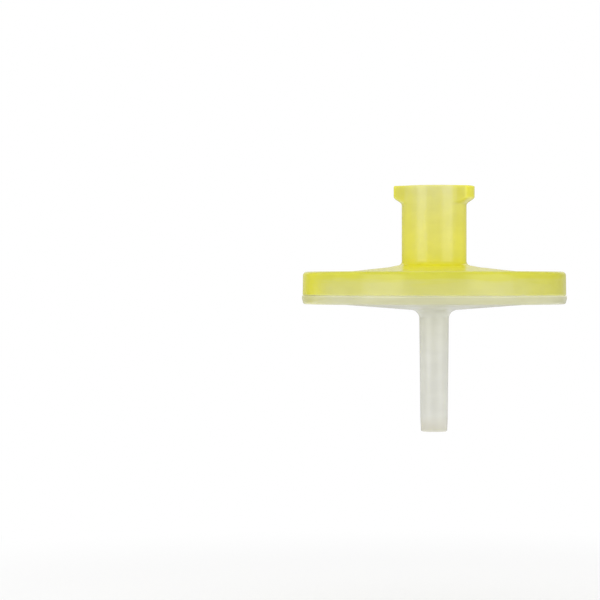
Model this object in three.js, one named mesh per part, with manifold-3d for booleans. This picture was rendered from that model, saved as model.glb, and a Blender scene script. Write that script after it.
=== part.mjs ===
// Disposable syringe filter, 25 mm class, moulded in polypropylene.
//
// The real object is three pieces, stacked along one flow axis:
//   inlet_housing   tinted upper half: female Luer lock hub on a shallow conical disc with a skirt
//   membrane        white microporous disc, clamped round its edge between the halves
//   outlet_housing  natural lower half: ribbed membrane support, weld ring, flange and slim outlet tube
// The halves are welded together for good, so nothing moves.
//
// Units are millimetres and +Z points out of the inlet, against the flow. Heights in the tables
// below are measured from the joint line, where the skirt sits on the flange. The whole stack is
// then lowered, so that the origin lies in the middle of the inlet mouth. The lugs lie along X.

import * as THREE from "three";
import { mergeVertices } from "three/addons/utils/BufferGeometryUtils.js";
import Module from "manifold-3d";

const wasm = await Module();
wasm.setup();

// ---------------------------------------------------------------- driving dimensions

const SEGMENTS = 56; // facets round a full turn
const ARC_STEP = THREE.MathUtils.degToRad(24); // turn of one facet in a rounded corner
const CHAMFER = 0.1; // lead-in on the edges that slide into each other

const MOUTH_Z = 10.54; // height of the inlet mouth

// Female Luer lock: a 6 % conical socket, and two lugs that a syringe's collar screws onto.
const luer = {
  mouthRadius: 2.15,
  depth: 7.5,
  taper: 0.06, // loss of diameter for each millimetre of depth
  barrelRadius: 3.125,
  lugRadius: 3.9,
  lugSide: 1.2, // height of a lug's outer wall
  lugRamp: 0.48, // further drop of its sloping underside
  lugHalfAngle: THREE.MathUtils.degToRad(23.5), // half of the outer arc of a lug
  lugRootHalfAngle: THREE.MathUtils.degToRad(40), // where its flanks meet the barrel
  edgeRound: 0.1,
  floorRound: 0.2,
  lugFootRound: 0.22,
  lugRootRound: 0.25,
};

// Four curved ports round a solid centre spread the flow, so that no jet meets the membrane.
const ports = { count: 4, inner: 1.3, outer: 1.8, halfAngle: THREE.MathUtils.degToRad(20) };

// Upper half of the disc.
const cap = {
  top: 2.285,
  coneFoot: 8.3, // radius where the flat rim ends and the shallow cone begins
  shoulder: { radius: 4.3, z: 2.73, round: 2 }, // the cone steepens here, towards the barrel
  hubFoot: { z: 2.97, round: 0.4 }, // where the shoulder meets the barrel
  rimRadius: 12.64,
  rimRound: 0.38,
  jointRadius: 12.675, // the rim widens a little, so that it leaves the mould
  jointRound: 0.08,
  skirtInner: 11.55,
  grooveTop: 1.45,
};

// Membrane, and the two faces that pinch its edge.
const membrane = { radius: 9.9, thickness: 0.15 };
const seat = { height: 0.6, inner: 9.3 };
const plug = { radius: 9.95, chamberEdge: 1.12, chamberFlat: 2.2, chamberCentre: 1.42 };

// Lower half of the disc: the weld ring that stands inside the skirt, and the flange below it.
const base = {
  ringInner: 10.0,
  ringOuter: 11.5,
  flangeRadius: 12.735,
  flangeBulge: -0.3, // height of the widest line of the flange
  seamInner: 12.495, // the seat ends here, and the edge outside it is let down a hair
  seamOuter: 12.535,
  seamDrop: 0.02,
  seamRound: 0.06,
  bottom: -0.84,
  bottomRadius: 12.605,
  bottomRound: 0.24,
  coneFoot: 8.95,
  coneKnee: { radius: 8.4, z: -0.926 },
  coneEnd: -1.45, // height at which the lower cone would meet the tube
};

// Membrane support: concentric ridges, broken by radial channels that drain to the outlet.
const support = {
  floor: 0.15,
  ridges: 6,
  firstRadius: 2.15,
  pitch: 1.25,
  topWidth: 0.42,
  footWidth: 0.66,
  channels: 8,
  channelWidth: 0.5,
  channelFloor: 0.08,
};

// Slim outlet tube, tapered inside and out.
const tube = {
  rootRadius: 1.432,
  noseRadius: 1.322,
  noseZ: -11.85,
  tipRadius: 1.26,
  tipZ: -13.1,
  tipRound: 0.12,
  rootRound: 0.85,
  boreTip: 0.65,
  boreRoot: 0.8,
  boreRootZ: -0.25,
  collector: 1.3,
};

const SOCKET_FLOOR = MOUTH_Z - luer.depth;
const MEMBRANE_TOP = seat.height + membrane.thickness;
const OVERSHOOT = 0.3; // how far a cutting tool runs past the face that it opens

// ---------------------------------------------------------------- materials

const tintedPolypropylene = new THREE.MeshStandardMaterial({
  color: 0xe0dc64,
  roughness: 0.35,
  metalness: 0,
});
const naturalPolypropylene = new THREE.MeshStandardMaterial({
  color: 0xd6d7c8,
  roughness: 0.35,
  metalness: 0,
});
const microporousFilm = new THREE.MeshStandardMaterial({
  color: 0xf4f4f0,
  roughness: 0.9,
  metalness: 0,
});

// ---------------------------------------------------------------- shape helpers

// Corners are [x, y] or [x, y, rounding radius]. Rounded corners become tangent arcs.
function rounded(corners, closed) {
  const points = [];
  corners.forEach(([x, y, radius], i) => {
    const here = new THREE.Vector2(x, y);
    const before = corners[i - 1] ?? (closed && corners.at(-1));
    const after = corners[i + 1] ?? (closed && corners[0]);
    if (!radius || !before || !after) {
      points.push(here);
      return;
    }
    points.push(...tangentArc(before, here, after, radius));
  });
  return points;
}

function tangentArc(before, corner, after, radius) {
  const back = new THREE.Vector2(before[0], before[1]).sub(corner).normalize();
  const on = new THREE.Vector2(after[0], after[1]).sub(corner).normalize();
  const halfAngle = Math.acos(back.dot(on)) / 2;
  const toCentre = radius / Math.sin(halfAngle);
  const centre = back.clone().add(on).normalize().multiplyScalar(toCentre).add(corner);
  const start = back.multiplyScalar(radius / Math.tan(halfAngle)).add(corner).sub(centre);
  const end = on.multiplyScalar(radius / Math.tan(halfAngle)).add(corner).sub(centre);
  const turn = Math.atan2(start.cross(end), start.dot(end));
  const steps = Math.max(1, Math.ceil(Math.abs(turn) / ARC_STEP));
  return Array.from({ length: steps + 1 }, (_, i) =>
    start.clone().rotateAround(new THREE.Vector2(), (turn * i) / steps).add(centre),
  );
}

function polar(radius, angle) {
  return new THREE.Vector2(radius * Math.cos(angle), radius * Math.sin(angle));
}

// A profile of [radius, height] corners turned about Z. It runs down the outside of the piece, and
// either starts and ends on the axis or closes on itself.
function revolve(corners, closed = false) {
  const profile = rounded(corners, closed);
  if (closed) profile.push(profile[0].clone());
  return solidOf(new THREE.LatheGeometry(profile.reverse(), SEGMENTS).rotateX(Math.PI / 2));
}

// A flat outline in X and Y, pulled up from one height to another.
function prism(outline, bottom, top) {
  const settings = { depth: top - bottom, bevelEnabled: false, curveSegments: 6 };
  return solidOf(new THREE.ExtrudeGeometry(outline, settings).translate(0, 0, bottom));
}

function solidOf(geometry) {
  geometry.deleteAttribute("normal");
  geometry.deleteAttribute("uv");
  const merged = mergeVertices(geometry, 1e-4);
  return new wasm.Manifold(
    new wasm.Mesh({
      numProp: 3,
      vertProperties: merged.attributes.position.array,
      triVerts: new Uint32Array(merged.index.array),
    }),
  );
}

function meshOf(name, solid, material) {
  const { vertProperties, triVerts } = solid.getMesh();
  const geometry = new THREE.BufferGeometry()
    .setAttribute("position", new THREE.BufferAttribute(vertProperties, 3))
    .setIndex(new THREE.BufferAttribute(triVerts, 1));
  geometry.computeVertexNormals();
  const mesh = new THREE.Mesh(geometry, material);
  mesh.name = name;
  return mesh;
}

// ---------------------------------------------------------------- inlet housing

function capBody() {
  const socketRadius = luer.mouthRadius - (luer.taper * luer.depth) / 2;
  return revolve([
    // socket, mouth and barrel
    [0, SOCKET_FLOOR],
    [socketRadius, SOCKET_FLOOR, luer.floorRound],
    [luer.mouthRadius, MOUTH_Z, luer.edgeRound],
    [luer.barrelRadius, MOUTH_Z, luer.edgeRound],
    [luer.barrelRadius, cap.hubFoot.z, cap.hubFoot.round],
    // shallow cone, flat rim and skirt
    [cap.shoulder.radius, cap.shoulder.z, cap.shoulder.round],
    [cap.coneFoot, cap.top],
    [cap.rimRadius, cap.top, cap.rimRound],
    [cap.jointRadius, 0, cap.jointRound],
    [cap.skirtInner + CHAMFER, 0],
    [cap.skirtInner, CHAMFER],
    // groove for the weld ring, and the plug that pinches the membrane
    [cap.skirtInner, cap.grooveTop],
    [plug.radius, cap.grooveTop],
    [plug.radius, MEMBRANE_TOP],
    [seat.inner, MEMBRANE_TOP],
    // ceiling of the chamber above the membrane
    [seat.inner - CHAMFER, plug.chamberEdge],
    [plug.chamberFlat, plug.chamberCentre],
    [0, plug.chamberCentre],
  ]);
}

// Both lugs are cut from one collar, by a bar with slanting sides that crosses the mouth. The
// collar's inner part is buried in the barrel's wall, and its foot ends just under the skin.
function lugs() {
  const buried = (luer.mouthRadius + luer.barrelRadius) / 2;
  const skin = luer.barrelRadius - 0.004;
  const rampTop = MOUTH_Z - luer.lugSide;
  const rampFoot = rampTop - luer.lugRamp;
  const foot = rampFoot - luer.lugRootRound;
  const collar = revolve(
    [
      [buried, MOUTH_Z],
      [luer.lugRadius, MOUTH_Z, luer.edgeRound],
      [luer.lugRadius, rampTop, luer.lugFootRound],
      [skin, rampFoot, luer.lugRootRound],
      [skin, foot],
      [buried, foot],
    ],
    true,
  );
  return collar.intersect(prism(lugOutline(), foot - OVERSHOOT, MOUTH_Z + OVERSHOOT));
}

// A flank runs from a lug's outer corner to its root on the barrel, and the bar's side runs on
// past both, so that it leaves no sliver.
function lugOutline() {
  const corner = polar(luer.lugRadius, luer.lugHalfAngle);
  const root = polar(luer.barrelRadius, luer.lugRootHalfAngle);
  const outside = corner.clone().lerp(root, -0.4);
  const inside = corner.clone().lerp(root, 1.15);
  const quarter = [outside, inside];
  const mirrored = quarter.map(({ x, y }) => new THREE.Vector2(-x, y)).reverse();
  const upper = [...quarter, ...mirrored];
  const lower = upper.map(({ x, y }) => new THREE.Vector2(-x, -y));
  return new THREE.Shape([...upper, ...lower]);
}

function port(angle) {
  const outline = new THREE.Shape();
  outline.absarc(0, 0, ports.outer, angle - ports.halfAngle, angle + ports.halfAngle, false);
  outline.absarc(0, 0, ports.inner, angle + ports.halfAngle, angle - ports.halfAngle, true);
  outline.closePath();
  return prism(outline, plug.chamberCentre - OVERSHOOT, SOCKET_FLOOR + OVERSHOOT);
}

function inletHousing() {
  let housing = capBody().add(lugs());
  for (let i = 0; i < ports.count; i++) {
    housing = housing.subtract(port((i / ports.count) * 2 * Math.PI));
  }
  return housing;
}

// ---------------------------------------------------------------- outlet housing

// Corners of the support's section, from the collector out to the membrane's seat.
function ridgeCorners() {
  const corners = [];
  for (let i = 0; i < support.ridges; i++) {
    const middle = support.firstRadius + i * support.pitch;
    corners.push(
      [middle - support.footWidth / 2, support.floor],
      [middle - support.topWidth / 2, seat.height],
      [middle + support.topWidth / 2, seat.height],
      [middle + support.footWidth / 2, support.floor],
    );
  }
  return corners;
}

function baseBody() {
  return revolve(
    [
      // bore of the outlet tube, from its tip up to the support
      [tube.boreTip, tube.tipZ],
      [tube.boreRoot, tube.boreRootZ],
      [tube.collector, support.floor],
      ...ridgeCorners(),
      // seat and weld ring
      [seat.inner - CHAMFER, support.floor],
      [seat.inner, seat.height],
      [base.ringInner, seat.height],
      [base.ringInner, cap.grooveTop - CHAMFER],
      [base.ringInner + CHAMFER, cap.grooveTop],
      [base.ringOuter - CHAMFER, cap.grooveTop],
      [base.ringOuter, cap.grooveTop - CHAMFER],
      [base.ringOuter, 0],
      // flange
      [base.seamInner, 0],
      [base.seamOuter, -base.seamDrop],
      [base.flangeRadius, -base.seamDrop, base.seamRound],
      [base.flangeRadius, base.flangeBulge],
      [base.bottomRadius, base.bottom, base.bottomRound],
      // underside, and the outside of the tube down to its tip
      [base.coneFoot, base.bottom],
      [base.coneKnee.radius, base.coneKnee.z],
      [tube.rootRadius, base.coneEnd, tube.rootRound],
      [tube.noseRadius, tube.noseZ],
      [tube.tipRadius, tube.tipZ, tube.tipRound],
    ],
    true,
  );
}

// Each bar crosses the whole support, so it cuts two opposite channels.
function drainChannels() {
  const length = 2 * (seat.inner - CHAMFER);
  const height = seat.height + OVERSHOOT - support.channelFloor;
  const bars = Array.from({ length: support.channels / 2 }, (_, i) =>
    solidOf(
      new THREE.BoxGeometry(length, support.channelWidth, height)
        .translate(0, 0, support.channelFloor + height / 2)
        .rotateZ((i / support.channels) * 2 * Math.PI),
    ),
  );
  return bars.reduce((cut, bar) => cut.add(bar));
}

function outletHousing() {
  return baseBody().subtract(drainChannels());
}

// ---------------------------------------------------------------- membrane

function membraneDisc() {
  return revolve([
    [0, MEMBRANE_TOP],
    [membrane.radius, MEMBRANE_TOP],
    [membrane.radius, seat.height],
    [0, seat.height],
  ]);
}

// ---------------------------------------------------------------- assembly

const syringeFilter = new THREE.Group();
syringeFilter.add(
  meshOf("inlet_housing", inletHousing(), tintedPolypropylene),
  meshOf("membrane", membraneDisc(), microporousFilm),
  meshOf("outlet_housing", outletHousing(), naturalPolypropylene),
);
syringeFilter.position.z = -MOUTH_Z;

export default syringeFilter;
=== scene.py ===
# %% [markdown]
# # A disposable syringe filter
#
# A syringe filter is a flat plastic case, about 25 mm across, that cleans the liquid pushed
# through it. A syringe screws into the socket on top, the liquid passes a white membrane inside
# the disc, and it leaves by the slim tube below.
#
# How it is built was settled before, in a CAD model, and this lesson gives it its looks: finer
# meshes, plastics and a studio. We could place the pieces by hand, but then they would drift away
# from the CAD model. So we load its frame first, and take every position from there.

# %% Load the frame
import math
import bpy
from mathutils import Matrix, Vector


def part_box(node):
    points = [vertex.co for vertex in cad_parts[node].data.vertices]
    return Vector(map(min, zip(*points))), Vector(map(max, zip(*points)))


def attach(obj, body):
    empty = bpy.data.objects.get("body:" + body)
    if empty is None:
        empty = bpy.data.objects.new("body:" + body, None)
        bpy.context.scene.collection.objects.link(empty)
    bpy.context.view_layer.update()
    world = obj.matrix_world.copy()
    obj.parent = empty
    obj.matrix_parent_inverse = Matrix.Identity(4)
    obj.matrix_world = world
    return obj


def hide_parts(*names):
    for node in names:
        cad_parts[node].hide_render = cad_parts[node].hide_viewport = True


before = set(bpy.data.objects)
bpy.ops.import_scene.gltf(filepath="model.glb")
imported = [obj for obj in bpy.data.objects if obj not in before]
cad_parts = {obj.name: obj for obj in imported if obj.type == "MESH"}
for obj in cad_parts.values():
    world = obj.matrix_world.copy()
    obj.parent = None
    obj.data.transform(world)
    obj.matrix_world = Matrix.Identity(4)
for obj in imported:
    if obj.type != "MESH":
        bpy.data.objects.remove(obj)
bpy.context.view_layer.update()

from types import SimpleNamespace

import bmesh
import bpy
from mathutils import Matrix, Vector

print("nodes in the frame:", sorted(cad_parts))

# %% [markdown]
# ## Sizes
#
# Blender works in metres here, and a moulder's drawing in millimetres. We could write metres
# everywhere, but a size such as 0.00048 is hard to read and easy to get wrong. So we keep the
# drawing's units, measure heights from the joint line between the two halves, and turn both into
# metres in one place, where a mesh is made.

# %% Sizes read from the frame
MM = 0.001

inlet_low, inlet_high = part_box("inlet_housing")
outlet_low, outlet_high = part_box("outlet_housing")
film_low, film_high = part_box("membrane")

joint_height = inlet_low.z
MOUTH_Z = (inlet_high.z - joint_height) / MM
TIP_Z = (outlet_low.z - joint_height) / MM
SKIRT_RADIUS = inlet_high.x / MM
FLANGE_RADIUS = outlet_high.x / MM
FILM_RADIUS = film_high.x / MM
FILM_BOTTOM = (film_low.z - joint_height) / MM
FILM_TOP = (film_high.z - joint_height) / MM

print(f"mouth {MOUTH_Z:.2f} mm above the joint, tip {-TIP_Z:.2f} mm below it")
print(f"skirt radius {SKIRT_RADIUS:.2f} mm, flange radius {FLANGE_RADIUS:.2f} mm")
print(f"membrane radius {FILM_RADIUS:.2f} mm, {FILM_TOP - FILM_BOTTOM:.2f} mm thick")

# %% [markdown]
# ## Turning a profile
#
# Nearly everything on this part is round, because round moulds are cut on a lathe. So we work as
# the lathe does: draw half a section, and turn it about the flow axis. No edge in a mould is quite
# sharp. A Bevel modifier could round the edges afterwards, all by the same width, but each corner
# here has a radius of its own. So we round the corners in the drawing, before it is turned.

# %% Round the corners of a profile
ARC_STEP = math.radians(9)


def tangent_arc(before, corner, after, radius):
    """Points of the arc that rounds one corner and touches both of its sides."""
    back = (Vector(before) - Vector(corner)).normalized()
    on = (Vector(after) - Vector(corner)).normalized()
    half = math.acos(back.dot(on)) / 2
    centre = Vector(corner) + (back + on).normalized() * (radius / math.sin(half))
    start = Vector(corner) + back * (radius / math.tan(half)) - centre
    end = Vector(corner) + on * (radius / math.tan(half)) - centre
    turn = math.atan2(start.cross(end), start.dot(end))
    steps = max(2, math.ceil(abs(turn) / ARC_STEP))
    return [centre + Matrix.Rotation(turn * i / steps, 2) @ start for i in range(steps + 1)]


def rounded(corners, closed):
    """The points of a profile. Its corners are (radius, height) or (radius, height, rounding)."""
    points = []
    for i, corner in enumerate(corners):
        has_sides = closed or 0 < i < len(corners) - 1
        if len(corner) == 3 and has_sides:
            before = corners[i - 1][:2]
            after = corners[(i + 1) % len(corners)][:2]
            points += tangent_arc(before, corner[:2], after, corner[2])
        else:
            points.append(Vector(corner[:2]))
    return points


square_corner = rounded([(0, 1), (1, 1, 0.5), (1, 0)], closed=False)
print(f"a square corner is rounded with {len(square_corner) - 2} points")

# %% [markdown]
# Points are drawn in millimetres and kept in metres. Scaling each finished object would do that
# too, but a scale left on an object upsets bumps and modifiers. So each point is turned into metres
# as it is made, and the finished mesh needs no scale.

# %% Put points and meshes in the scene
def place(x, y, height):
    """A point of the drawing, in metres and in the frame."""
    return (x * MM, y * MM, joint_height + height * MM)


def as_object(name, mesh):
    """Turn a bmesh into an object in the scene."""
    data = bpy.data.meshes.new(name)
    mesh.to_mesh(data)
    mesh.free()
    made = bpy.data.objects.new(name, data)
    bpy.context.scene.collection.objects.link(made)
    return made


print("the middle of the joint lies at", [round(value, 5) for value in place(0, 0, 0)], "m")

# %% [markdown]
# Blender's Screw modifier could turn the profile for us. Plain mesh code does the same in a few
# lines, and lets us push the surface outwards as it goes round, where the lugs stand.

# %% Turn a profile into a mesh
SEGMENTS = 256
ON_AXIS = 1e-6


def revolve(name, corners, closed=False, reach=None):
    """Turn a half section about the flow axis. reach(radius, height, angle) may push it out."""
    mesh = bmesh.new()
    rings = []
    for radius, height in rounded(corners, closed):
        if radius < ON_AXIS:
            rings.append([mesh.verts.new(place(0, 0, height))] * SEGMENTS)
            continue
        ring = []
        for i in range(SEGMENTS):
            angle = 2 * math.pi * i / SEGMENTS
            r = reach(radius, height, angle) if reach else radius
            ring.append(mesh.verts.new(place(r * math.cos(angle), r * math.sin(angle), height)))
        rings.append(ring)
    if closed:
        rings.append(rings[0])
    for ring, following in zip(rings, rings[1:]):
        for i in range(SEGMENTS):
            j = (i + 1) % SEGMENTS
            mesh.faces.new(dict.fromkeys([ring[i], ring[j], following[j], following[i]]))
    bmesh.ops.recalc_face_normals(mesh, faces=mesh.faces)
    return as_object(name, mesh)


print(f"every round surface gets {SEGMENTS} segments, one each {360 / SEGMENTS:.1f} degrees")

# %% [markdown]
# ## Cutting and shading
#
# Ports and drain channels are not round. We could build them into the mesh face by face, but it is
# simpler to cut them afterwards with a Boolean modifier, as a milling cutter would. The cutter is
# a flat outline pulled up into a prism, and once the cut is applied it goes.

# %% Cut with prisms
def prisms(outlines, bottom, top):
    """One object that holds a prism for each outline of (x, y) points."""
    mesh = bmesh.new()
    for outline in outlines:
        low = [mesh.verts.new(place(x, y, bottom)) for x, y in outline]
        high = [mesh.verts.new(place(x, y, top)) for x, y in outline]
        mesh.faces.new(low)
        mesh.faces.new(high)
        for i in range(len(outline)):
            j = (i + 1) % len(outline)
            mesh.faces.new([low[i], low[j], high[j], high[i]])
    bmesh.ops.recalc_face_normals(mesh, faces=mesh.faces)
    return as_object("cutter", mesh)


def cut(piece, cutter):
    """Take the cutter out of the piece, for good."""
    faces_before = len(piece.data.polygons)
    modifier = piece.modifiers.new("cut", "BOOLEAN")
    modifier.operation = "DIFFERENCE"
    modifier.solver = "EXACT"
    modifier.object = cutter
    evaluated = piece.evaluated_get(bpy.context.evaluated_depsgraph_get())
    result = bpy.data.meshes.new_from_object(evaluated)
    piece.modifiers.clear()
    piece.data = result
    bpy.data.objects.remove(cutter)
    print(f"{piece.name}: {faces_before} faces before the cut, {len(result.polygons)} after it")


print("cutters are ready: an outline of n points becomes a prism of n + 2 faces")

# %% [markdown]
# The real skin is smooth and its edges are crisp. Smooth shading everywhere would smear the edges,
# and flat shading would show the segments. So every face is shaded smooth, and an edge stays sharp
# where its two faces turn by more than about 30 degrees.

# %% Shade smooth, with crisp edges
CRISP_ANGLE = math.radians(30)


def shade(piece):
    """Smooth the piece's faces, keep its real edges, and say how fine its mesh is."""
    mesh = bmesh.new()
    mesh.from_mesh(piece.data)
    for face in mesh.faces:
        face.smooth = True
    for edge in mesh.edges:
        edge.smooth = len(edge.link_faces) == 2 and edge.calc_face_angle(0) < CRISP_ANGLE
    mesh.to_mesh(piece.data)
    triangles = sum(len(face.verts) - 2 for face in mesh.faces)
    mesh.free()
    print(f"{piece.name}: {triangles} triangles")


print(f"an edge is crisp where it turns by {math.degrees(CRISP_ANGLE):.0f} degrees or more")

# %% [markdown]
# ## The inlet housing: hub and lugs
#
# The tinted upper half is one moulding. Its hub is a female Luer lock: a socket with a 6 % taper,
# and two lugs that the collar of a syringe grips. We could model the lugs as blocks and join them
# on, but the mould flows from the round barrel into them through soft fillets. So we work out how
# far the wall reaches at each angle and height: the smallest of its limits trims a lug, and the
# larger of barrel and lug joins the two. Where such limits cross, we round the crossing, and that
# leaves the fillet.

# %% Sizes of the hub, in millimetres
SOCKET_MOUTH_RADIUS = 2.15
BARREL_RADIUS = 3.125
LUG_RADIUS = 3.9
LUG_SIDE = 1.2
LUG_RAMP = 0.48
LUG_HALF_ANGLE = math.radians(23.5)
LUG_ROOT_HALF_ANGLE = math.radians(40)
RAMP_FOOT = MOUTH_Z - LUG_SIDE - LUG_RAMP
RAMP_SLOPE = (LUG_RADIUS - BARREL_RADIUS) / LUG_RAMP

corner = Vector((math.cos(LUG_HALF_ANGLE), math.sin(LUG_HALF_ANGLE))) * LUG_RADIUS
root = Vector((math.cos(LUG_ROOT_HALF_ANGLE), math.sin(LUG_ROOT_HALF_ANGLE))) * BARREL_RADIUS
flank_normal = Vector((root.y - corner.y, corner.x - root.x)).normalized()
flank_angle = math.atan2(flank_normal.y, flank_normal.x)
flank_distance = corner.dot(flank_normal)

print(f"the lugs are {2 * LUG_RADIUS:.1f} mm across, on a barrel of {2 * BARREL_RADIUS:.2f} mm")
print(f"a lug's flank leans {math.degrees(flank_angle):.0f} degrees from the line of the lugs")

# %% How far the barrel's wall reaches
LUG_EDGE_BLEND = 0.14
LUG_FOOT_BLEND = 0.3
LUG_ROOT_BLEND = 0.28
HALFWAY_INTO_WALL = (SOCKET_MOUTH_RADIUS + BARREL_RADIUS) / 2
LUG_ZONE_BOTTOM = RAMP_FOOT - LUG_ROOT_BLEND


def smooth_min(a, b, width):
    """The smaller of two values, with the crossing rounded over the given width."""
    overlap = max(width - abs(a - b), 0) / width
    return min(a, b) - overlap * overlap * width / 4


def lugged_reach(radius, height, angle):
    """Push the outside of the barrel out to the lugs, and leave everything else as it is."""
    if radius < HALFWAY_INTO_WALL or height < LUG_ZONE_BOTTOM:
        return radius
    from_lug = abs(math.remainder(angle, math.pi))
    flank = flank_distance / math.cos(from_lug - flank_angle)
    plan = smooth_min(LUG_RADIUS, flank, LUG_EDGE_BLEND)
    underside = BARREL_RADIUS + (height - RAMP_FOOT) * RAMP_SLOPE
    lug = smooth_min(plan, underside, LUG_FOOT_BLEND)
    # The larger of two values is the smaller of their opposites, turned round again.
    joined = -smooth_min(-BARREL_RADIUS, -lug, LUG_ROOT_BLEND)
    inset = BARREL_RADIUS - radius
    return joined - inset


for degrees in (0, 30, 90):
    reached = lugged_reach(BARREL_RADIUS, MOUTH_Z, math.radians(degrees))
    print(f"at {degrees} degrees from a lug the wall reaches {reached:.2f} mm")

# %% [markdown]
# ## The inlet housing: the whole half section
#
# The half section runs from the floor of the socket, out over the mouth, down the hub, over the
# disc and its skirt, and back in along the faces that nobody sees once the halves are welded. We
# could leave those hidden faces out, but light goes through this plastic, and only a closed wall
# of the right thickness glows as it should. The lug zone gets rows of its own, for its fillets.

# %% Sizes of the inlet housing, in millimetres
SOCKET_FLOOR_RADIUS = 1.925
SOCKET_DEPTH = 7.5
SOCKET_FLOOR = MOUTH_Z - SOCKET_DEPTH
SOCKET_FLOOR_ROUND = 0.2
MOUTH_ROUND = 0.1
HUB_FOOT = 2.97
HUB_FOOT_ROUND = 0.4

SHOULDER_RADIUS = 4.3
SHOULDER_Z = 2.73
CONE_FOOT = 8.3
CAP_TOP = 2.285
CONE_ROUND = 2.0
RIM_RADIUS = 12.64
RIM_ROUND = 0.38
SKIRT_FOOT_ROUND = 0.08

CHAMFER = 0.1
SKIRT_INNER = 11.55
GROOVE_TOP = 1.45
PLUG_RADIUS = 9.95
SEAT_INNER = 9.3
CHAMBER_EDGE = 1.12
CHAMBER_FLAT = 2.2
CHAMBER_CENTRE = 1.42

taper = (SOCKET_MOUTH_RADIUS - SOCKET_FLOOR_RADIUS) * 2 / SOCKET_DEPTH
print(f"the socket tapers by {taper:.0%}")
print(f"the cap is {CAP_TOP - CHAMBER_EDGE:.2f} mm thick over the chamber's edge")

# %% Model the inlet housing
LUG_ROWS = 30
LUG_ROWS_GAP = 0.05
LUG_ROWS_TOP = MOUTH_Z - MOUTH_ROUND - LUG_ROWS_GAP

lug_rows = []
for i in range(LUG_ROWS + 1):
    drop = (LUG_ROWS_TOP - LUG_ZONE_BOTTOM) * i / LUG_ROWS
    lug_rows.append((BARREL_RADIUS, LUG_ROWS_TOP - drop))

inlet = revolve(
    "inlet_moulding",
    [
        (0, SOCKET_FLOOR),
        (SOCKET_FLOOR_RADIUS, SOCKET_FLOOR, SOCKET_FLOOR_ROUND),
        (SOCKET_MOUTH_RADIUS, MOUTH_Z, MOUTH_ROUND),
        (BARREL_RADIUS, MOUTH_Z, MOUTH_ROUND),
        *lug_rows,
        (BARREL_RADIUS, HUB_FOOT, HUB_FOOT_ROUND),
        (SHOULDER_RADIUS, SHOULDER_Z, CONE_ROUND),
        (CONE_FOOT, CAP_TOP, CONE_ROUND),
        (RIM_RADIUS, CAP_TOP, RIM_ROUND),
        (SKIRT_RADIUS, 0, SKIRT_FOOT_ROUND),
        (SKIRT_INNER + CHAMFER, 0),
        (SKIRT_INNER, CHAMFER),
        (SKIRT_INNER, GROOVE_TOP),
        (PLUG_RADIUS, GROOVE_TOP),
        (PLUG_RADIUS, FILM_TOP),
        (SEAT_INNER, FILM_TOP),
        (SEAT_INNER - CHAMFER, CHAMBER_EDGE),
        (CHAMBER_FLAT, CHAMBER_CENTRE),
        (0, CHAMBER_CENTRE),
    ],
    reach=lugged_reach,
)
print(f"{inlet.name}: turned, with {len(lug_rows)} rows over the lugs")

# %% [markdown]
# The socket's floor is closed in the middle, so that the jet from the syringe doesn't hit the
# membrane. Four short ports round that centre let the liquid into the chamber. Round holes would
# be simpler to draw, but slots bent round the centre let more liquid through the same ring. So
# each port is an arc out and an arc back.

# %% Cut the four ports
PORT_COUNT = 4
PORT_INNER = 1.3
PORT_OUTER = 1.8
PORT_HALF_ANGLE = math.radians(20)
PORT_STEPS = 8
OVERSHOOT = 0.3


def port_outline(angle):
    """The outline of a curved slot: out along one arc and back along the other."""
    shares = [2 * i / PORT_STEPS - 1 for i in range(PORT_STEPS + 1)]
    turns = [angle + PORT_HALF_ANGLE * share for share in shares]
    outer = [(PORT_OUTER * math.cos(t), PORT_OUTER * math.sin(t)) for t in turns]
    inner = [(PORT_INNER * math.cos(t), PORT_INNER * math.sin(t)) for t in reversed(turns)]
    return outer + inner


port_outlines = [port_outline(2 * math.pi * i / PORT_COUNT) for i in range(PORT_COUNT)]
cut(inlet, prisms(port_outlines, CHAMBER_CENTRE - OVERSHOOT, SOCKET_FLOOR + OVERSHOOT))
shade(inlet)

# %% [markdown]
# ## The membrane
#
# The membrane is a thin white disc, pinched at its edge between the halves. It hardly shows, but
# the ports give a glimpse of it from above, and the outlet bore one from below. A flat circle with
# a Solidify modifier would do, but the turning helper makes the closed disc in one go.

# %% Model the membrane
membrane = revolve(
    "membrane_disc",
    [
        (0, FILM_TOP),
        (FILM_RADIUS, FILM_TOP),
        (FILM_RADIUS, FILM_BOTTOM),
        (0, FILM_BOTTOM),
    ],
)
shade(membrane)

# %% [markdown]
# ## The outlet housing
#
# The lower half is moulded in the same plastic without the dye. Its upper face carries the
# membrane on six concentric ridges with sloping sides, which let them slip out of the mould. We
# could add each ridge as a ring of its own, but as corners of the profile they are part of the
# same closed wall, as in the moulding.

# %% Ridges under the membrane
RIDGE_COUNT = 6
RIDGE_FIRST = 2.15
RIDGE_PITCH = 1.25
RIDGE_TOP = 0.42
RIDGE_FOOT = 0.66
SUPPORT_FLOOR = 0.15

ridges = []
for i in range(RIDGE_COUNT):
    middle = RIDGE_FIRST + i * RIDGE_PITCH
    ridges += [
        (middle - RIDGE_FOOT / 2, SUPPORT_FLOOR),
        (middle - RIDGE_TOP / 2, FILM_BOTTOM),
        (middle + RIDGE_TOP / 2, FILM_BOTTOM),
        (middle + RIDGE_FOOT / 2, SUPPORT_FLOOR),
    ]

print(f"{RIDGE_COUNT} ridges, {FILM_BOTTOM - SUPPORT_FLOOR:.2f} mm high, {RIDGE_PITCH} mm apart")

# %% [markdown]
# Outside the ridges stand the membrane's seat and the weld ring, which reaches up into the skirt.
# Below them the flange's flat underside passes into a very flat cone and then into the slim tube.
# Where the halves meet at the outside, a hair-thin step leaves the line that shows the weld. We
# could turn tube and flange apart and join them, but in one profile the wall stays closed, and
# the corners between them are rounded like all the others.

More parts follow.
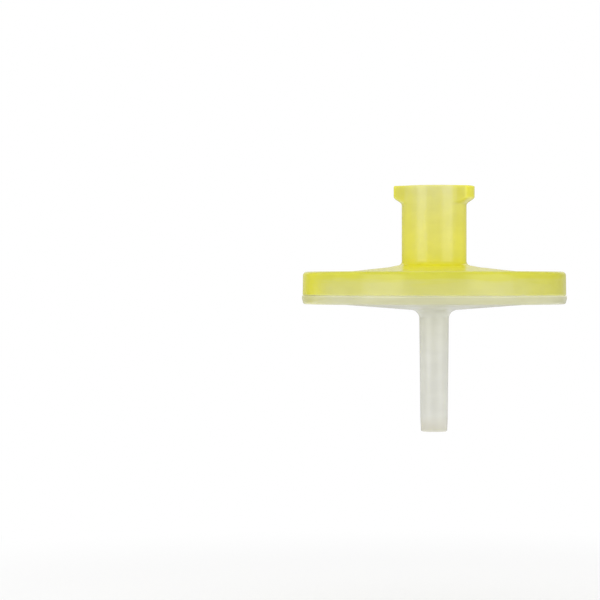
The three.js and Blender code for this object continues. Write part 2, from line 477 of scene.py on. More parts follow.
# %% Sizes of the outlet housing, in millimetres
BORE_TIP = 0.65
BORE_ROOT = 0.8
FUNNEL_FOOT = -0.25
FUNNEL_RADIUS = 1.3
RING_INNER = 10.0
RING_OUTER = 11.5

STEP_WIDTH = 0.2
STEP_SLOPE = 0.04
STEP_DEPTH = 0.02
FLANGE_TOP_ROUND = 0.06
FLANGE_WALL_FOOT = -0.3
FLANGE_DRAFT = 0.13
FLANGE_BOTTOM = -0.84
FLANGE_ROUND = 0.24

FLAT_INNER = 8.95
CONE_OUTER = 8.4
CONE_START = -0.926
CONE_END = -1.45
UNDERSIDE_ROUND = 0.8
TUBE_ROOT_RADIUS = 1.432
TUBE_ROOT_ROUND = 0.85
TUBE_NOSE_RADIUS = 1.322
TUBE_NOSE_Z = -11.85
TUBE_NOSE_ROUND = 8.0
TUBE_TIP_RADIUS = 1.26
TUBE_TIP_ROUND = 0.12

print(f"the flange is {-FLANGE_BOTTOM - STEP_DEPTH:.2f} mm high at its edge")
print(f"the tube is {CONE_END - TIP_Z:.1f} mm long, {2 * TUBE_ROOT_RADIUS:.2f} mm thick at its root")

# %% Model the outlet housing
outlet = revolve(
    "outlet_moulding",
    [
        (BORE_TIP, TIP_Z),
        (BORE_ROOT, FUNNEL_FOOT),
        (FUNNEL_RADIUS, SUPPORT_FLOOR),
        *ridges,
        (SEAT_INNER - CHAMFER, SUPPORT_FLOOR),
        (SEAT_INNER, FILM_BOTTOM),
        (RING_INNER, FILM_BOTTOM),
        (RING_INNER, GROOVE_TOP - CHAMFER),
        (RING_INNER + CHAMFER, GROOVE_TOP),
        (RING_OUTER - CHAMFER, GROOVE_TOP),
        (RING_OUTER, GROOVE_TOP - CHAMFER),
        (RING_OUTER, 0),
        (FLANGE_RADIUS - STEP_WIDTH - STEP_SLOPE, 0),
        (FLANGE_RADIUS - STEP_WIDTH, -STEP_DEPTH),
        (FLANGE_RADIUS, -STEP_DEPTH, FLANGE_TOP_ROUND),
        (FLANGE_RADIUS, FLANGE_WALL_FOOT),
        (FLANGE_RADIUS - FLANGE_DRAFT, FLANGE_BOTTOM, FLANGE_ROUND),
        (FLAT_INNER, FLANGE_BOTTOM, UNDERSIDE_ROUND),
        (CONE_OUTER, CONE_START, UNDERSIDE_ROUND),
        (TUBE_ROOT_RADIUS, CONE_END, TUBE_ROOT_ROUND),
        (TUBE_NOSE_RADIUS, TUBE_NOSE_Z, TUBE_NOSE_ROUND),
        (TUBE_TIP_RADIUS, TIP_Z, TUBE_TIP_ROUND),
    ],
    closed=True,
)
print(f"{outlet.name}: turned, with {len(outlet.data.polygons)} faces")

# %% [markdown]
# Eight drain channels cross the ridges and lead the liquid to the bore in the middle. Each could
# have a cutter of its own. But channels that face each other lie on one line, so four long bars
# cut all eight.

# %% Cut the drain channels
CHANNEL_COUNT = 8
CHANNEL_WIDTH = 0.5
CHANNEL_FLOOR = 0.08


def bar_outline(angle):
    """A bar through the middle, which cuts two opposite channels at once."""
    lengthwise = Vector((math.cos(angle), math.sin(angle))) * (SEAT_INNER - CHAMFER)
    sideways = Vector((-math.sin(angle), math.cos(angle))) * (CHANNEL_WIDTH / 2)
    near = [lengthwise - sideways, lengthwise + sideways]
    return near + [sideways - lengthwise, -sideways - lengthwise]


for i in range(CHANNEL_COUNT // 2):
    bar = bar_outline(2 * math.pi * i / CHANNEL_COUNT)
    cut(outlet, prisms([bar], CHANNEL_FLOOR, FILM_BOTTOM + OVERSHOOT))
shade(outlet)

# %% [markdown]
# ## Materials
#
# Three materials make this part: dyed polypropylene, the same plastic undyed, and a microporous
# film. We build them from nodes. A colour picker gives sRGB values and Blender's sockets expect
# linear ones, so one helper turns the first into the second. Another adds a node of any kind, with
# its settings and its links, so that every tree below reads as a list of what is joined to what.

# %% Colours and nodes
def srgb(code):
    """A colour such as '#E0DC64', as linear red, green, blue and alpha."""
    channels = [int(code[i : i + 2], 16) / 255 for i in (1, 3, 5)]
    linear = [c / 12.92 if c <= 0.04045 else ((c + 0.055) / 1.055) ** 2.4 for c in channels]
    return (*linear, 1.0)


def add(tree, kind, inputs=None, stops=None, **settings):
    """Add a node. inputs holds values or nodes to link, stops are a ramp's (place, colour)."""
    made = tree.nodes.new(kind)
    for name, value in settings.items():
        setattr(made, name, value)
    for socket, value in (inputs or {}).items():
        if isinstance(value, bpy.types.Node):
            value = value.outputs[0]
        if isinstance(value, bpy.types.NodeSocket):
            tree.links.new(value, made.inputs[socket])
        else:
            made.inputs[socket].default_value = value
    for i, (spot, colour) in enumerate(stops or []):
        ramp = made.color_ramp.elements
        stop = ramp[i] if i < 2 else ramp.new(spot)
        stop.position = spot
        stop.color = srgb(colour)
    return made


def new_material(name):
    """A material with an empty node tree, and that tree."""
    made = bpy.data.materials.new(name)
    made.use_nodes = True
    made.node_tree.nodes.clear()
    return made, made.node_tree


print(f"the sRGB grey #808080 is {srgb('#808080')[0]:.3f} in linear light")

# %% [markdown]
# The colour of this plastic changes with the place on the part: with height on the hub, with
# radius on the disc. A texture painted on an unwrapped mesh could hold that, but it would need a
# new painting for each change of shape. Measuring a point in the drawing's own millimetres works
# on any mesh. `side` says how far a point lies towards the lug at +X: 1 there, -1 at the other
# lug, and 0 halfway between them.

# %% Measures in the drawing
def measures(tree):
    """Nodes that give a point's place in the drawing, in millimetres, and its side."""
    coordinates = add(tree, "ShaderNodeTexCoord")
    spot = add(
        tree,
        "ShaderNodeMapping",
        {
            "Vector": coordinates.outputs["Object"],
            "Location": (0, 0, -joint_height / MM),
            "Scale": (1 / MM, 1 / MM, 1 / MM),
        },
    )
    flat = add(tree, "ShaderNodeVectorMath", {0: spot, 1: (1, 1, 0)}, operation="MULTIPLY")
    radius = add(tree, "ShaderNodeVectorMath", {0: flat}, operation="LENGTH").outputs["Value"]
    parts = add(tree, "ShaderNodeSeparateXYZ", {0: spot}).outputs
    side = add(tree, "ShaderNodeMath", {0: parts["X"], 1: radius}, operation="DIVIDE")
    return SimpleNamespace(
        spot=spot, x=parts["X"], y=parts["Y"], height=parts["Z"], radius=radius, side=side
    )


print(f"the joint line lies at {joint_height / MM:.2f} mm in the frame, and at 0 in the drawing")

# %% [markdown]
# Four helpers put colour on those measures. `along` is a colour ramp whose stops stand at real
# millimetres, and `grain` is noise whose patches have a given size. `where` is a mask with soft
# edges, and `paint` lays a colour over another inside such a mask. Node groups could do the same
# in the node editor, but in a script a few functions are easier to read.

# %% Ramps and noise in millimetres
def along(tree, value, colours):
    """A colour ramp along a value. Its stops are (value, colour), from low to high."""
    low = colours[0][0]
    high = colours[-1][0]
    share = add(tree, "ShaderNodeMapRange", {"Value": value, "From Min": low, "From Max": high})
    stops = [((spot - low) / (high - low), colour) for spot, colour in colours]
    return add(tree, "ShaderNodeValToRGB", {"Fac": share}, stops=stops)


def grain(tree, spot, patch_mm, detail):
    """Noise whose patches have the given sizes along X, Y and Z, in millimetres."""
    per_mm = tuple(1 / size for size in patch_mm)
    stretched = add(tree, "ShaderNodeVectorMath", {0: spot, 1: per_mm}, operation="MULTIPLY")
    noise = {"Vector": stretched, "Scale": 1.0, "Detail": detail}
    return add(tree, "ShaderNodeTexNoise", noise).outputs[0]


sample_mm = 0.25
print(f"patches of {sample_mm} mm are {1 / sample_mm:.0f} to a millimetre")

# %% Masks and paint
def where(tree, *limits, strength=1.0):
    """A mask of that strength where every limit holds.

    A limit is a value and a pair (start, stop), and opens softly from the first to the second.
    """
    mask = strength
    for value, (start, stop) in limits:
        opened = add(
            tree,
            "ShaderNodeMapRange",
            {"Value": value, "From Min": start, "From Max": stop},
            interpolation_type="SMOOTHSTEP",
        )
        mask = add(tree, "ShaderNodeMath", {0: mask, 1: opened}, operation="MULTIPLY")
    return mask


def paint(tree, under, over, *limits, strength=1.0, how="MIX"):
    """Lay a colour over another where every limit holds. over is a code, or comes from a node."""
    mask = where(tree, *limits, strength=strength)
    top = srgb(over) if isinstance(over, str) else over
    made = add(
        tree,
        "ShaderNodeMix",
        {0: mask, 6: under, 7: top},
        data_type="RGBA",
        blend_type=how,
    )
    return made.outputs[2]


print("masks and paint are ready: a mask is half open midway from start to stop")

# %% [markdown]
# ## The skin of moulded polypropylene
#
# Both halves are polypropylene, injection moulded. It is a milky plastic: light enters it,
# scatters, and comes out again a little way off, so edges glow softly and shadows are thin. Its
# skin copies the steel of the mould. The flat faces carry faint rings from the lathe, and all of
# it has the fine texture of a stone-polished mould, which gives a low, slightly broken gloss.
# Both could be cut into the mesh, but they are only a few thousandths of a millimetre deep, and a
# bump on the shading is enough.

# %% The relief that a mould leaves
# Real turning marks lie about 0.05 mm apart, too fine to show here, so they are drawn wider.
RING_PITCH_MM = 0.3
RING_DEPTH_MM = 0.0012
# The grit of a polishing stone leaves scratches of about 0.03 mm. They are drawn wider too, at a
# seventh of a millimetre.
TEXTURE_MM = (1 / 7, 1 / 7, 1 / 7)
TEXTURE_DEPTH_MM = 0.004
FACE_FADE = 0.1
TOP_FACE = (CAP_TOP - FACE_FADE, CAP_TOP)
UNDER_FACE = (FLANGE_BOTTOM + FACE_FADE, FLANGE_BOTTOM)
OUT_ON_DISC = (3.6, 4.4)


def mould_relief(tree, at):
    """A bump: turning rings on the two flat faces, and the texture of the polish all over."""
    above = where(tree, (at.height, TOP_FACE), (at.radius, OUT_ON_DISC), strength=RING_DEPTH_MM)
    below = where(tree, (at.height, UNDER_FACE), (at.radius, OUT_ON_DISC), strength=RING_DEPTH_MM)
    depth = add(tree, "ShaderNodeMath", {0: above, 1: below}, operation="MAXIMUM")
    per_mm = 2 * math.pi / RING_PITCH_MM
    turns = add(tree, "ShaderNodeMath", {0: at.radius, 1: per_mm}, operation="MULTIPLY")
    wave = add(tree, "ShaderNodeMath", {0: turns}, operation="SINE")
    rings = add(tree, "ShaderNodeMath", {0: wave, 1: depth}, operation="MULTIPLY")
    relief = add(
        tree,
        "ShaderNodeMath",
        {0: grain(tree, at.spot, TEXTURE_MM, detail=3.0), 1: TEXTURE_DEPTH_MM, 2: rings},
        operation="MULTIPLY_ADD",
    )
    return add(tree, "ShaderNodeBump", {"Height": relief, "Distance": MM, "Strength": 1.0})


print(f"turning rings {RING_PITCH_MM} mm apart and {RING_DEPTH_MM * 1000:.1f} thousandths deep")

# %% [markdown]
# Glass-like transmission could show the hollows inside, but milky plastic renders slowly and
# noisily that way. Subsurface scattering gives the glow at little cost. It stops lamplight at the
# outer wall, though, and a real socket is lit through its wall. So for shadow rays alone the skin
# is a tinted Transparent shader, which lets the lamps into the socket.

# %% Milky plastic
# Typical values for polypropylene with a semi-gloss skin.
POLYPROPYLENE_IOR = 1.49
GLOSSIEST = 0.17
DULLEST = 0.27
SCATTER_MM = 0.6
# Handling dulls the gloss in patches about a millimetre wide.
WEAR_MM = (1.111, 1.111, 1.111)
# Melt never mixes quite evenly: flat clouds about 3 mm long are a shade darker.
CLOUD_MM = (2.857, 2.857, 1.25)
CLOUD_EDGE = (0.35, 0.65)
CLOUD_DEPTH = 0.04


def moulded(tree, at, colour, reach, passed_colour):
    """Moulded polypropylene of a given colour. Lamplight that gets through has passed_colour."""
    clouds = grain(tree, at.spot, CLOUD_MM, detail=2.0)
    clouded = paint(tree, colour, "#000000", (clouds, CLOUD_EDGE), strength=CLOUD_DEPTH)
    wear = grain(tree, at.spot, WEAR_MM, detail=3.0)
    dullness = {"Value": wear, "To Min": GLOSSIEST, "To Max": DULLEST}
    skin = add(
        tree,
        "ShaderNodeBsdfPrincipled",
        {
            "Base Color": clouded,
            "Roughness": add(tree, "ShaderNodeMapRange", dullness),
            "IOR": POLYPROPYLENE_IOR,
            "Normal": mould_relief(tree, at),
            "Subsurface Weight": 1.0,
            "Subsurface Radius": reach,
            "Subsurface Scale": SCATTER_MM * MM,
        },
    )
    path = add(tree, "ShaderNodeLightPath")
    passed = add(tree, "ShaderNodeBsdfTransparent", {"Color": srgb(passed_colour)})
    milky = {0: path.outputs["Is Shadow Ray"], 1: skin, 2: passed}
    add(tree, "ShaderNodeOutputMaterial", {"Surface": add(tree, "ShaderNodeMixShader", milky)})


print(f"light travels about {SCATTER_MM} mm inside the plastic before it comes out again")

# %% [markdown]
# ## Tinted polypropylene: the hub
#
# The dye shows by how much plastic lies in the light's way. The hub is deepest where it is solid,
# below the socket's floor, and pales upwards as the socket hollows it out. A volume shader could
# work that out by itself, at a great cost in time. We write the result into the base colour
# instead, as a ramp by height, and paint the places that differ on top of it. Three of them are
# painted light and shade: a deeper yellow on the barrel's sides towards the lugs, for the longer
# path of light through the plastic at the barrel's edges; lugs that are deeper where the plastic
# is thicker and painted darker to take out the glow of their thin corners; and the inside of the
# socket, painted brighter for the lamplight that a real wall lets in. The rim of the mouth has a
# colour of its own too.

# %% Colours of the hub
# Painted light: from 2.7 to 3.3 mm, at the hub's foot, the ramp is painted lighter, to lift the
# shade in the crease between hub and cap.
HUB_COLOURS = [
    (2.7, "#E7E11E"),
    (2.95, "#E9E330"),
    (3.15, "#EFE953"),
    (3.3, "#EBE663"),
    (3.6, "#E8E46B"),
    (4.6, "#E7E376"),
    (6.9, "#E1DD7B"),
    (9.2, "#DDDA88"),
    (10.4, "#DAD790"),
]
# Painted deeper yellow on the barrel's sides towards the lugs: it stands for the longer path of
# light through the plastic at the barrel's edges.
PAINTED_EDGE_DEPTH_TINT = "#FFFED8"
PAINTED_EDGE_DEPTH_STRENGTH = 0.9
PAINTED_EDGE_DEPTH_SIDES = ((-0.25, -0.6), (0.65, 0.92))
# The lugs are deeper yellow where the plastic is thicker, and painted darker as well: painted shade
# that takes out the glow of their thin corners.
LUG_COLOUR_AND_PAINTED_SHADE = "#DAD668"
OFF_BARREL = (3.13, 3.22)
UP_AT_LUGS = (8.2, 8.6)
MOUTH_COLOUR = "#D9D44E"
AT_MOUTH = (MOUTH_Z - 0.05, MOUTH_Z)
# Painted light: the inside of the socket is painted brighter, for the lamplight that a real wall
# lets in.
SOCKET_PAINTED_LIGHT_COLOUR = "#F6F46C"
IN_SOCKET = (2.35, 2.2)
ABOVE_SOCKET_FLOOR = (2.9, 3.0)

tinted, tree = new_material("tinted_polypropylene_moulded")
at = measures(tree)
hub = along(tree, at.height, HUB_COLOURS)
for flank in PAINTED_EDGE_DEPTH_SIDES:
    limit = (at.side, flank)
    hub = paint(tree, hub, PAINTED_EDGE_DEPTH_TINT, limit, strength=PAINTED_EDGE_DEPTH_STRENGTH, how="MULTIPLY")
hub = paint(tree, hub, LUG_COLOUR_AND_PAINTED_SHADE, (at.radius, OFF_BARREL), (at.height, UP_AT_LUGS))
hub = paint(tree, hub, MOUTH_COLOUR, (at.height, AT_MOUTH))
hub = paint(tree, hub, SOCKET_PAINTED_LIGHT_COLOUR, (at.radius, IN_SOCKET), (at.height, ABOVE_SOCKET_FLOOR))

print(f"the hub's colour runs over {HUB_COLOURS[-1][0] - HUB_COLOURS[0][0]:.1f} mm of height")

# %% [markdown]
# ## Tinted polypropylene: the top of the disc
#
# On top, the disc is deep over the solid plug and pale over the weld ring, whose undyed plastic
# shines through the cap. A pale knit line runs across it, clearest on the side where two streams
# of melt met behind the hub. It could be modelled as a groove, but the real one is a change of
# colour in a flat face, so it is painted.

# %% Colours of the disc's top
TOP_COLOURS = [
    (4.0, "#E6E03A"),
    (8.3, "#DDD84E"),
    (9.65, "#DDD954"),
    (10.15, "#D6D586"),
    (11.4, "#D6D588"),
    (11.7, "#D4D376"),
    (12.5, "#D2D060"),
]
KNIT_COLOUR = "#EAE89A"
KNIT_WIDTH = (0.18, 0.04)
KNIT_END = (10.1, 9.6)
KNIT_FAR = 3.0
KNIT_FAINT = 0.1
KNIT_CLEAR = 0.4

disc = along(tree, at.radius, TOP_COLOURS)
off_line = add(tree, "ShaderNodeMath", {0: at.x}, operation="ABSOLUTE")
knit_strength = add(
    tree,
    "ShaderNodeMapRange",
    {
        "Value": at.y,
        "From Min": -KNIT_FAR,
        "From Max": KNIT_FAR,
        "To Min": KNIT_FAINT,
        "To Max": KNIT_CLEAR,
    },
)
knit_limits = ((off_line, KNIT_WIDTH), (at.radius, KNIT_END))
disc = paint(tree, disc, KNIT_COLOUR, *knit_limits, strength=knit_strength)

print(f"the knit line is {2 * KNIT_WIDTH[0]:.2f} mm wide and ends {KNIT_END[0]} mm out")

# %% [markdown]
# ## Tinted polypropylene: the rim
#
# On the rim the same weld ring makes the lower half pale. Its upper edge shows as a border drawn
# out in thin flow streaks, a third of a millimetre high and some 4 mm long. A clean ramp by height
# would look printed, so noise of that size moves the height before the ramp reads it. The rim as a
# whole is painted darker than the hub, as painted shade. Its ends carry painted light and shade too:
# the end towards -X is painted brighter and deeper, and the end towards +X a little darker, with a
# deeper yellow low on the wall. The bottom edge is a thin pale line, because light from the flange
# comes out there.

# %% Colours of the rim
# The whole ramp is painted darker than the hub's colours, as painted shade on the rim.
WALL_COLOURS = [
    (0.1, "#D3D17F"),
    (1.15, "#D2D077"),
    (1.65, "#D2D052"),
    (2.4, "#CFCD4C"),
]
STREAK_SIZE_MM = (4, 4, 1 / 3)
STREAK_MM = 0.6
# Painted light: the end of the rim towards -X is painted brighter and a deeper yellow.
LIT_END_PAINTED_COLOUR = "#DCD844"
LIT_END_SIDE = (-0.55, -0.85)
# Painted shade: the end towards +X is painted a little darker, and deeper yellow low on the wall.
SHADED_END_PAINT_TINT = "#FAF9F2"
SHADED_END_SIDE = (0.8, 0.99)
SHADED_END_FOOT_PAINT_TINT = "#FFFFE4"
SHADED_END_FOOT_SIDE = (0.8, 0.95)
LOW_ON_WALL = (1.6, 1.1)
SEAM_COLOUR = "#FEFDB6"
AT_SEAM = (0.12, 0.02)

drift = {
    "Value": grain(tree, at.spot, STREAK_SIZE_MM, detail=3.0),
    "To Min": -STREAK_MM,
    "To Max": STREAK_MM,
}
shifted = {0: add(tree, "ShaderNodeMapRange", drift), 1: at.height}
streaky_height = add(tree, "ShaderNodeMath", shifted, operation="ADD")
wall = along(tree, streaky_height, WALL_COLOURS)
wall = paint(tree, wall, LIT_END_PAINTED_COLOUR, (at.side, LIT_END_SIDE))
wall = paint(tree, wall, SHADED_END_PAINT_TINT, (at.side, SHADED_END_SIDE), how="MULTIPLY")
shaded_end_foot_limits = ((at.side, SHADED_END_FOOT_SIDE), (streaky_height, LOW_ON_WALL))
wall = paint(tree, wall, SHADED_END_FOOT_PAINT_TINT, *shaded_end_foot_limits, how="MULTIPLY")
wall = paint(tree, wall, SEAM_COLOUR, (at.height, AT_SEAM))

print(f"the border on the rim wavers by up to {STREAK_MM} mm up and down")

# %% [markdown]
# Hub, disc and rim could be three materials on three sets of faces, with a hard line between them.
# One material that fades from each into the next keeps the moulding in one piece to the eye. Red
# and green light go deeper into the dyed plastic than blue, which the yellow dye takes out.

# %% Tinted polypropylene, injection moulded
ON_WALL = (12.45, 12.6)
PAST_HUB = (3.7, 4.1)
TINTED_REACH = (1.0, 1.0, 0.5)
THROUGH_TINTED = "#FAF8DC"

disc = paint(tree, disc, wall, (at.radius, ON_WALL))
colour = paint(tree, hub, disc, (at.radius, PAST_HUB))
moulded(tree, at, colour, TINTED_REACH, THROUGH_TINTED)

print(f"{tinted.name}: {len(tree.nodes)} nodes")

# %% [markdown]
# ## Natural polypropylene
#
# The lower half is the same plastic, moulded without dye. Left natural, it looks like candle wax: a
# cool milky white on the tube. The thicker flange is warmer, with a faint yellow that it borrows
# from the tinted half above it, and it is painted darker, as painted shade. A second lamp in yellow
# could cast that yellow on it, but it would tint the tube too. So again a ramp by height does nearly
# all of it, with one patch of painted yellow light at the end of the flange that lies under the
# rim's deeper, brighter end.

# %% Natural polypropylene, injection moulded
# The ramp also paints light and shade: the flange and the flat cone under it are darker, darkest at
# the flange's lower edge, and a pale line of painted light runs just under the joint. Towards the
# tip it is darker too.
NATURAL_COLOURS = [
    (-13.1, "#C6C4B8"),
    (-12.4, "#D0CEC4"),
    (-11.5, "#D6D6CF"),
    (-6.0, "#D8D8D1"),
    (-2.0, "#D9D9CE"),
    (-1.3, "#CBCBB9"),
    (-0.95, "#C5C5AA"),
    (-0.84, "#BCBB9E"),
    (-0.7, "#C7C6A3"),
    (-0.4, "#CBCAA6"),
    (-0.15, "#CBCAA6"),
    (-0.05, "#E0DFBB"),
]
# Painted light: yellow light from the rim's end, painted on the end of the flange towards -X.
FLANGE_END_PAINTED_LIGHT_COLOUR = "#CFCD90"
FLANGE_END_LIGHT_SIDE = (-0.5, -0.88)
ABOVE_UNDERSIDE = (-0.95, -0.85)
OUT_ON_FLANGE = (11.6, 12.2)
NATURAL_REACH = (1.0, 1.0, 0.9)
THROUGH_NATURAL = "#F4F4EE"

natural, tree = new_material("natural_polypropylene_moulded")
at = measures(tree)
colour = along(tree, at.height, NATURAL_COLOURS)
flange_light_limits = ((at.side, FLANGE_END_LIGHT_SIDE), (at.height, ABOVE_UNDERSIDE), (at.radius, OUT_ON_FLANGE))
colour = paint(tree, colour, FLANGE_END_PAINTED_LIGHT_COLOUR, *flange_light_limits)
moulded(tree, at, colour, NATURAL_REACH, THROUGH_NATURAL)

print(f"{natural.name}: {len(tree.nodes)} nodes")

# %% [markdown]
# ## Microporous film
#
# The membrane is cast from a polymer that dries into a sponge. Its pores scatter light so well
# that it looks chalk white and quite matt, like paper. They are smaller than a thousandth of a
# millimetre, far too fine to show, so the noise that stands for them is drawn with patches of
# 0.07 mm, which just break up the white. Light scatters inside a real one, but behind two milky
# walls nobody could tell, so a plain matt surface does.

# %% Microporous film, cast
PORE_MM = (1 / 14, 1 / 14, 1 / 14)
PORE_DEPTH_MM = 0.01
FILM_COLOURS = [(0.3, "#E9E9E3"), (0.7, "#F4F4F1")]
# A dry sponge of polymer and air is quite matt, and bends light less than the solid polymer.
FILM_ROUGHNESS = 0.9
FILM_IOR = 1.4

film, tree = new_material("microporous_film_cast")
pores = grain(tree, measures(tree).spot, PORE_MM, detail=4.0)
bump = add(tree, "ShaderNodeBump", {"Height": pores, "Distance": PORE_DEPTH_MM * MM})
skin = add(
    tree,
    "ShaderNodeBsdfPrincipled",
    {
        "Base Color": along(tree, pores, FILM_COLOURS),
        "Roughness": FILM_ROUGHNESS,
        "IOR": FILM_IOR,
        "Normal": bump,
    },
)
add(tree, "ShaderNodeOutputMaterial", {"Surface": skin})

print(f"{film.name}: {len(tree.nodes)} nodes")

# %% [markdown]
# ## Putting the pieces on the frame
#
# Each piece takes its material, rides on the part's one body, and takes the place of its CAD twin.
# We parent each piece to an empty that stands for the body, and hide its CAD twin.

# %% Put the pieces on the frame
for piece, node, slot, material in (
    (inlet, "inlet_housing", "tinted_polypropylene", tinted),
    (membrane, "membrane", "membrane_film", film),
    (outlet, "outlet_housing", "natural_polypropylene", natural),
):
    piece.data.materials.clear()
    piece.data.materials.append(material)
    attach(piece, "root")
    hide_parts(node)
    print(f"{piece.name} wears {material.name} and stands for {node}")

# %% [markdown]
# ## The camera
#
# A catalogue shot of such a small part is taken from far away with a long lens, so that the disc
# is seen edge-on and hardly in perspective. A short lens close by would make the near rim bulge.
# The eye sits just above the joint line. It looks past the part, a little to its left and below
# the joint, which leaves the left of the view empty. `VIEW_WIDTH_MM` is how much the view takes in
# at the part's distance, and the distance follows from that and the lens.

# %% Camera
SENSOR_MM = 36
LENS_MM = 150
VIEW_WIDTH_MM = 57.84
ASIDE_MM = 12.927
DOWN_MM = 1.542
EYE_Z = 1.1
VIEW_TURN = math.radians(14)
# In metres: nothing stands nearer to the lens than this.
NEAR_CLIP = 0.01

straight_mm = LENS_MM / SENSOR_MM * VIEW_WIDTH_MM
yaw = math.atan(ASIDE_MM / straight_mm)
pitch = math.atan(DOWN_MM / straight_mm)
distance = straight_mm * MM / math.cos(yaw)

camera_data = bpy.data.cameras.new("camera")
camera_data.lens = LENS_MM
camera_data.sensor_width = SENSOR_MM
camera_data.clip_start = NEAR_CLIP
camera = bpy.data.objects.new("camera", camera_data)
camera.location = (
    distance * math.sin(VIEW_TURN),
    -distance * math.cos(VIEW_TURN),
    joint_height + EYE_Z * MM,
)
camera.rotation_euler = (math.radians(90) - pitch, 0, VIEW_TURN + yaw)
bpy.context.scene.collection.objects.link(camera)
bpy.context.scene.camera = camera

print(f"camera {distance / MM:.0f} mm away, turned {math.degrees(yaw):.1f} degrees off the part")

# %% [markdown]
# ## The studio
#
# A pale, milky part shows best in a white tent: light from all round, a large soft lamp on each
# side of the camera, and a brighter wall behind, which glows through the edges. An image of a real
# studio could light it, but a few smooth patches of brightness on the world do the same and stay
# easy to change.
#
# The patches are described by direction. `away` points from the camera past the part, and a spread
# such as (0.8, 0.96) says between which cosines from its direction a patch fades in.

# %% Brightness by direction
away = Vector((-math.sin(VIEW_TURN), math.cos(VIEW_TURN), 0))
up = Vector((0, 0, 1))

world = bpy.data.worlds.new("studio")
world.use_nodes = True
bpy.context.scene.world = world
tree = world.node_tree
tree.nodes.clear()
direction = add(tree, "ShaderNodeTexCoord").outputs["Generated"]


def brightness(base, patches):
    """A base level all round, with patches of (target, spread, level) over it."""
    level = base
    for target, spread, patch_level in patches:
        both = {0: direction, 1: target.normalized()}
        nearness = add(tree, "ShaderNodeVectorMath", both, operation="DOT_PRODUCT")
        mask = where(tree, (nearness.outputs["Value"], spread))
        level = add(tree, "ShaderNodeMix", {0: mask, 2: level, 3: patch_level})
    return level


print("the view looks towards", [round(value, 3) for value in away])

# %% [markdown]
# The world plays three parts. As `fill` it lights the plastic, more from behind than from the
# front. In reflections, as `gloss`, it is darker, so that the skin's gloss stays low except where
# the tent's back wall mirrors in it. And to the camera it is plain white.

# %% World
WHITE = "#FFFFFF"
WHITE_LEVEL = 1.0
FRONT_LEVEL = 0.66
BACK_LEVEL = 1.22
BACK_SPREAD = (-0.85, 0.05)
TOP_LEVEL = 1.0
TOP_SPREAD = (0.3, 0.9)
SIDES_IN_GLOSS = 0.08
HORIZON_IN_GLOSS = 0.47
HORIZON_SPREAD = (0.8, 0.96)
TENT_WALL_IN_GLOSS = 0.75
TENT_WALL_SPREAD = (0.84, 0.94)
TENT_WALL_RISE = 0.6
FRONT_IN_GLOSS = 0.3
FRONT_SPREAD = (0.9, 0.98)

fill = brightness(FRONT_LEVEL, [(away, BACK_SPREAD, BACK_LEVEL), (up, TOP_SPREAD, TOP_LEVEL)])
gloss = brightness(
    SIDES_IN_GLOSS,
    [
        (away, HORIZON_SPREAD, HORIZON_IN_GLOSS),
        (away + up * TENT_WALL_RISE, TENT_WALL_SPREAD, TENT_WALL_IN_GLOSS),
        (-away, FRONT_SPREAD, FRONT_IN_GLOSS),
    ],
)
ray = add(tree, "ShaderNodeLightPath").outputs
level = add(tree, "ShaderNodeMix", {0: ray["Is Glossy Ray"], 2: fill, 3: gloss})
for rays in ("Is Camera Ray", "Is Transmission Ray"):
    level = add(tree, "ShaderNodeMix", {0: ray[rays], 2: level, 3: WHITE_LEVEL})
sky = add(tree, "ShaderNodeBackground", {"Color": srgb(WHITE), "Strength": level})
add(tree, "ShaderNodeOutputWorld", {"Surface": sky})

print(f"the tent's front lights the part at {FRONT_LEVEL}, its back at {BACK_LEVEL}")

# %% [markdown]
# The two lamps are softboxes. A point lamp would leave a hard spark on the barrel. A box five times
# as wide as the part leaves the long soft streak that a moulded skin is known by, and the angles
# put one streak on each side of the barrel's middle. From here on sizes are in metres, because the
# studio is not part of the drawing.

# %% Lamps
LAMP_ELEVATION = 4
LAMP_GAP = 0.2
LAMP_HEIGHT = 0.1

part_middle = Vector(place(0, 0, 0))


def softbox(name, azimuth, width, radiance):
    """A rectangular lamp that faces the part. radiance is its brightness, where 1 is white."""
    data = bpy.data.lights.new(name, "AREA")
    data.shape = "RECTANGLE"
    data.size = width
    data.size_y = LAMP_HEIGHT
    data.energy = radiance * math.pi * width * LAMP_HEIGHT
    lamp = bpy.data.objects.new(name, data)
    turned = math.radians(azimuth) + VIEW_TURN
    raised = math.radians(LAMP_ELEVATION)
    out = math.cos(raised)
    towards = Vector((math.sin(turned) * out, -math.cos(turned) * out, math.sin(raised)))
    lamp.location = part_middle + towards * LAMP_GAP
    lamp.rotation_euler = towards.to_track_quat("Z", "Y").to_euler()
    bpy.context.scene.collection.objects.link(lamp)
    print(f"{name}: {width / MM:.0f} mm wide, {data.energy:.3f} W")


softbox("softbox_left", azimuth=-43, width=0.13, radiance=2.1)
softbox("softbox_right", azimuth=48, width=0.15, radiance=1.8)

# %% [markdown]
# ## The floor
#
# The floor is a sheet of white paper, matt, well below the part. Its colour is just short of
# white, so that it can hold a soft shadow. A plain disc would end in a visible edge, so for the
# camera the paper fades into pure white further out. From below the sheet is clear: a view from
# there would otherwise show nothing but its back.

# %% Floor
FLOOR_GAP = 0.018
FLOOR_RADIUS = 0.15
FLOOR_SEGMENTS = 96

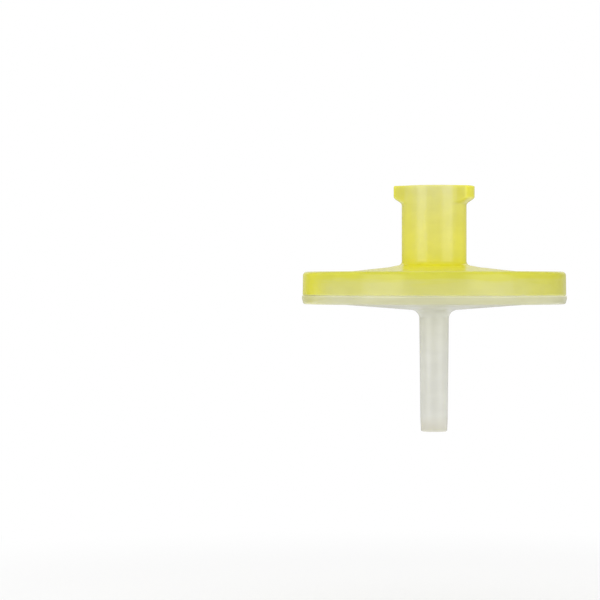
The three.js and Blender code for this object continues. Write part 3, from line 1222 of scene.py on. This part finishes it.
floor_mesh = bmesh.new()
floor_height = outlet_low.z - FLOOR_GAP
bmesh.ops.create_circle(floor_mesh, cap_ends=True, segments=FLOOR_SEGMENTS, radius=FLOOR_RADIUS)
bmesh.ops.translate(floor_mesh, verts=floor_mesh.verts, vec=(0, 0, floor_height))
floor = as_object("floor", floor_mesh)

print(f"the floor lies {FLOOR_GAP / MM:.0f} mm below the tip and is {2 * FLOOR_RADIUS} m across")

# %% White paper, matt
PAPER_COLOUR = "#F4F4F4"
# In the drawing's millimetres, out from the part's axis.
PAPER_FADE = (45, 90)

paper, tree = new_material("white_paper_sweep")
ray = add(tree, "ShaderNodeLightPath").outputs
seen = ray["Is Camera Ray"]
fade = where(tree, (measures(tree).radius, PAPER_FADE), strength=seen)
either = {0: fade, 1: ray["Is Transmission Ray"]}
sheet = add(tree, "ShaderNodeBsdfDiffuse", {"Color": srgb(PAPER_COLOUR)})
glow = add(tree, "ShaderNodeEmission", {"Color": srgb(WHITE), "Strength": WHITE_LEVEL})
whiteness = add(tree, "ShaderNodeMath", either, operation="MAXIMUM")
front = add(tree, "ShaderNodeMixShader", {0: whiteness, 1: sheet, 2: glow})
underside = {0: add(tree, "ShaderNodeNewGeometry").outputs["Backfacing"], 1: seen}
from_below = add(tree, "ShaderNodeMath", underside, operation="MULTIPLY")
clear = add(tree, "ShaderNodeBsdfTransparent")
one_sided = add(tree, "ShaderNodeMixShader", {0: from_below, 1: front, 2: clear})
add(tree, "ShaderNodeOutputMaterial", {"Surface": one_sided})
floor.data.materials.append(paper)

print(f"{paper.name} fades to white from {PAPER_FADE[0]} to {PAPER_FADE[1]} mm out")

# %% [markdown]
# ## Colours as they are written
#
# Blender's usual view transform rolls bright colours off towards grey, as film does. That suits
# high contrast, but here a colour should come out about as it was written, so we use Standard.

# %% Colour management
bpy.context.scene.view_settings.view_transform = "Standard"

print("view transform:", bpy.context.scene.view_settings.view_transform)

# %% [markdown]
# ## Finishing
#
# The looks may not change the size. We bring the scene up to date, and finish.

# %% Finish
bpy.context.view_layer.update()
